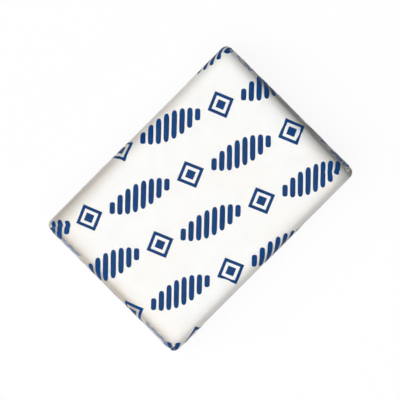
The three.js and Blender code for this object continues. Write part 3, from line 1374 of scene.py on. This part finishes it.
@dataclass
class FilmWrapper:
    """One sheet of printed film, folded round the block with a lap underneath and an envelope at each end.

    Attributes:
        sheet: The sheet that it is folded from.
        thickness: Thickness of the film.
        clearance: Slack between the film and the block.
        gap: Air between two layers.
        fold_ease: Stretch from a fold over which the two layers of it part.
        flap_layer: Layer of a flap, counted from the block.
        gusset_layer: Layer of a gusset.
        overlap_lift: Layers by which the lower flap climbs onto the upper one.
        least_slack: How loose the film is everywhere but underneath, where 1 is loosest.
        corner_slack: How much looser it is at a corner.
        end_slack: How much looser it is on an end.
        corner_fall: Distance over which the looseness of a corner falls off.
        end_ease: Distances from an end's sides and from its edges over which its looseness sets in.
        seal_ease: Distance from the lap's edge over which its seal sets in.
        flap_seal: Share of the flaps' overlap that is sealed in full.
        fold_angle: Angle past which a fold is sharp.
    """

    sheet: FlatSheet
    thickness: float = 0.02 * MM
    clearance: float = 0.08 * MM
    gap: float = 0.008 * MM
    fold_ease: float = 0.3 * MM
    flap_layer: float = 3.0
    gusset_layer: float = 2.0
    overlap_lift: float = 2.0
    least_slack: float = 0.08
    corner_slack: float = 0.4
    end_slack: float = 0.42
    corner_fall: float = 4.0 * MM
    end_ease: Pair = (2.0 * MM, 2.5 * MM)
    seal_ease: float = 1.0 * MM
    flap_seal: float = 0.4
    fold_angle: float = math.radians(50.0)

    @property
    def skin(self) -> Skin:
        """Surface of the block that the sheet is folded round."""
        return self.sheet.skin

    def closing(self, distance: np.ndarray) -> np.ndarray:
        """Give the share of a layer by which the two layers of a fold close up near it."""
        return 0.5 * (1 - smooth(distance, 0.0, self.fold_ease))

    def layer(self, net: NetCorners) -> np.ndarray:
        """Work out how many layers up each corner of the net lies.

        Args:
            net: The corners.

        Returns:
            Their layers, where 0 is the one on the block.
        """
        sheet = self.sheet
        flap = self.flap_layer - 1 - self.closing(net.run - np.maximum(net.past, 0.0))
        gusset = self.gusset_layer - 1 + self.closing(net.past - net.inner) - self.closing(net.inner)
        brow = np.clip(net.depth / self.skin.half_edge, 0.0, 1.0)
        face = flap * (1 - brow) ** 2 * (1 + brow)
        parts = [net.gusset, net.flap, net.tuck, net.wall]
        rest = np.select(parts, [gusset, flap, self.closing(net.lean), 0.0], face)

        # The lower flap and its gussets climb where they reach the upper flap.
        drop = np.where(net.gusset, net.inner, np.maximum(net.past, 0.0))
        start, end = (sheet.overlap - distance for distance in sheet.climb)
        climb = self.overlap_lift * smooth(drop, start, end) * (net.below & (net.gusset | net.flap))
        parting = smooth(net.run, 0.0, sheet.corner_ease)

        # One long edge of the sheet lies on the other one.
        start, end = (sheet.lap / 2 + distance for distance in sheet.climb)
        over_lap = net.below & ~net.wall & ~net.gusset & (net.signs[:, 1] < 0)
        return parting * (rest + climb) + over_lap * (1 - smooth(net.across, end, start))

    def slack(self, net: NetCorners) -> np.ndarray:
        """Work out how loose the film is at each corner of the net.

        Args:
            net: The corners.

        Returns:
            Numbers from 0 to 1.
        """
        wall, crease = self.skin.wall_rise, self.skin.crease_rise
        corner = np.exp(-np.hypot(net.run, net.rise - crease) / self.corner_fall)
        inward, down = self.end_ease
        on_end = smooth(net.run, 0.0, inward) * smooth(net.rise, wall, wall - down)
        slack = self.least_slack + self.corner_slack * corner + self.end_slack * on_end
        return np.clip(slack, 0.0, 1.0) * (1 - net.below * smooth(net.rise, wall, crease))

    def sealed(self, net: NetCorners) -> np.ndarray:
        """Work out how far the film is sealed to another layer at each corner of the net.

        Args:
            net: The corners.

        Returns:
            Numbers from 0 to 1.
        """
        half_lap = self.sheet.lap / 2
        in_lap = (net.below & ~net.wall) * smooth(np.abs(net.across), half_lap, half_lap - self.seal_ease)
        half_overlap = self.sheet.reach - self.skin.crease_rise
        under_flap = net.beyond * smooth(net.rise, half_overlap, self.flap_seal * half_overlap)
        return np.clip(in_lap + under_flap, 0.0, 1.0)

    def folded(self, flat: np.ndarray, triangles: np.ndarray) -> bpy.types.Mesh:
        """Fold the flat sheet round the block.

        Args:
            flat: Corners of the flat sheet.
            triangles: Its triangles.

        Returns:
            The folded sheet, which keeps its map, its marks and the directions that it faces.
        """
        net = NetCorners.sort(self.skin, flat)
        offset = self.clearance + self.thickness / 2 + self.layer(net) * (self.thickness + self.gap)
        points, facing = self.skin.place(net.run, net.rise, offset)
        points = points * net.signs
        mesh = bpy.data.meshes.new("film_sheet")
        mesh.from_pydata(self.skin.settle(points).tolist(), [], triangles.tolist())
        places = flat[triangles.ravel()] / self.sheet.map_size + 0.5
        mesh.uv_layers.new(name=SHEET_MAP).data.foreach_set("uv", places.ravel())
        # The film's shine is dulled where grey shade is painted on the block.
        shade_dulled = self.skin.tone(self.skin.painted_grey_shade, points)
        keep_marks(mesh, {Mark.SLACK: self.slack(net), Mark.SEALED: self.sealed(net), Mark.SHADE_DULLED: shade_dulled})
        directions = (facing * net.signs).ravel()
        mesh.attributes.new(FACING, "FLOAT_VECTOR", "POINT").data.foreach_set("vector", directions)
        return mesh

    def walled(self, wrapper: bpy.types.Object) -> bpy.types.Mesh:
        """Give the film its thickness, with the ink on its outer side only.

        Args:
            wrapper: The wrapper without thickness.

        Returns:
            The mesh with both its sides and its cut edges.
        """
        wall = wrapper.modifiers.new("wall", "SOLIDIFY")
        wall.thickness = self.thickness
        wall.offset = 0.0
        # Each side's material is given by its place in the list, ink first and clear film next.
        wall.material_offset = 1
        wall.material_offset_rim = 1
        evaluated = wrapper.evaluated_get(bpy.context.evaluated_depsgraph_get())
        mesh = bpy.data.meshes.new_from_object(evaluated)
        wrapper.modifiers.clear()
        mesh.set_sharp_from_angle(angle=self.fold_angle)
        return mesh

    def build(self) -> bpy.types.Object:
        """Make the wrapper.

        Returns:
            The wrapper, dressed and riding on the body.
        """
        ink = InkFinish().material()
        film = ClearFilmFinish(self.sheet).material()
        art = PrintRepeat(ink).artwork()
        flat, triangles, inked = self.sheet.cut(art)
        bpy.data.meshes.remove(art)
        mesh = self.folded(flat, triangles)
        mesh.attributes.new(INKED, "BOOLEAN", "FACE").data.foreach_set("value", inked)

        mesh = Crinkles(self.skin).crinkled(mesh, film)
        mesh.materials.clear()
        for material in (ink, film):
            mesh.materials.append(material)
        is_inked = np.empty(len(mesh.polygons), dtype=bool)
        mesh.attributes[INKED].data.foreach_get("value", is_inked)
        mesh.polygons.foreach_set("material_index", np.where(is_inked, 0, 1))
        mesh.shade_smooth()
        wrapper = add_object("printed_wrapper", mesh)
        wrapper.data = self.walled(wrapper)
        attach(wrapper, BODY)
        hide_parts("film_wrapper")
        return wrapper


@dataclass(frozen=True)
class Lamp:
    """A square soft lamp that points at the block.

    Attributes:
        name: Its name.
        place: Where it hangs.
        size: Its side.
        power: Its power in watts.
    """

    name: str
    place: tuple[float, float, float]
    size: float
    power: float

    def hang(self) -> None:
        """Put the lamp into the scene."""
        data = bpy.data.lights.new(self.name, "AREA")
        data.size = self.size
        data.energy = self.power
        lamp = add_object(self.name, data)
        lamp.location = self.place
        lamp.rotation_euler = Vector(self.place).to_track_quat("Z", "Y").to_euler()


@dataclass
class Studio:
    """The pale floor, the white surroundings, the lamps and the camera straight above.

    Attributes:
        turn: How far the block is turned in the picture.
        lens: Focal length in millimetres.
        film_width: Width of the camera's film in millimetres.
        clip: Nearest and farthest distance that the camera sees.
        camera_height: Distance of the camera from the floor.
        picture_shift: How far the block stands to the right of the picture's middle, and above it.
        floor_size: Side of the floor.
        sky: Brightness of the sky where it is brightest.
        sky_aim: Direction in which it is brightest.
        sky_edge: Cosine of the angle from there at which it has fallen off.
        horizon: Its brightness past that angle, towards -X and towards +X.
        lamps: The lamps.
        film_crossings: Faces of clear film that a ray may cross.
    """

    turn: float = math.radians(-45.0)
    lens: float = 200.0
    film_width: float = 36.0
    clip: Pair = (0.01, 100.0)
    camera_height: float = 364.0 * MM
    picture_shift: Pair = (0.08 * MM, 0.225 * MM)
    floor_size: float = 6.0
    sky: float = 4.0
    sky_aim: tuple[float, float, float] = (-0.27, 0.0, 1.0)
    sky_edge: float = 0.78
    horizon: Pair = (0.2, 0.06)
    lamps: tuple[Lamp, ...] = (
        Lamp("window", (-0.36, 0.3, 0.36), 0.14, 0.5),
        Lamp("strip", (-0.1, -0.5, 0.3), 0.34, 0.25),
    )
    film_crossings: int = 32

    def camera(self) -> None:
        """Hang the camera over the block, turned as the photograph is."""
        data = bpy.data.cameras.new("overhead")
        data.lens = self.lens
        data.sensor_width = self.film_width
        data.clip_start, data.clip_end = self.clip
        camera = add_object("overhead", data)
        right = Vector((math.cos(self.turn), math.sin(self.turn), 0.0))
        up = Vector((-math.sin(self.turn), math.cos(self.turn), 0.0))
        above = Vector((0.0, 0.0, self.camera_height))
        camera.location = above - right * self.picture_shift[0] - up * self.picture_shift[1]
        camera.rotation_euler = (0.0, 0.0, self.turn)
        bpy.context.scene.camera = camera

    def floor(self) -> None:
        """Lay the floor."""
        half = self.floor_size / 2
        corners = [(-half, -half, 0.0), (half, -half, 0.0), (half, half, 0.0), (-half, half, 0.0)]
        mesh = bpy.data.meshes.new("floor")
        mesh.from_pydata(corners, [], [(0, 1, 2, 3)])
        mesh.materials.append(FloorFinish().material())
        floor = add_object("floor", mesh)

    def surroundings(self) -> None:
        """Set the world, white where it is seen, and a soft sky, brightest overhead, where it lights."""
        world = bpy.data.worlds.new("white_room")
        world.use_nodes = True
        world.node_tree.nodes.clear()
        wiring = SurfaceWiring(world.node_tree)
        direction = wiring.node("ShaderNodeTexCoord").outputs["Generated"]
        nearness = wiring.vector("DOT_PRODUCT", direction, Vector(self.sky_aim).normalized())
        low = wiring.spread(wiring.split(direction)[0], (-1.0, 1.0), self.horizon)
        fall = {0: nearness, 1: self.sky_edge, 2: 1.0, 3: low, 4: self.sky}
        dome = wiring.node("ShaderNodeMapRange", fall, interpolation_type="SMOOTHSTEP").outputs[0]
        light = wiring.node("ShaderNodeMix", {0: wiring.background_rays(), 2: dome, 3: 1.0}).outputs[0]
        back = wiring.node("ShaderNodeBackground", {"Color": WHITE, "Strength": light})
        wiring.node("ShaderNodeOutputWorld", {0: back.outputs[0]})
        bpy.context.scene.world = world

    def build(self) -> None:
        """Set up everything round the object."""
        self.camera()
        self.floor()
        self.surroundings()
        for lamp in self.lamps:
            lamp.hang()
        scene = bpy.context.scene
        scene.view_settings.view_transform = "Standard"
        scene.cycles.transparent_max_bounces = self.film_crossings


def main() -> None:
    """Build the studio and the two pieces, and report each."""
    logging.basicConfig(level=logging.INFO, format="%(name)s: %(message)s")
    Studio().build()
    skin = Skin()
    for piece in (VinylBlock(skin).build(), FilmWrapper(FlatSheet(skin)).build()):
        log.info("%s: %d faces", piece.name, len(piece.data.polygons))


if __name__ == "__main__":
    main()
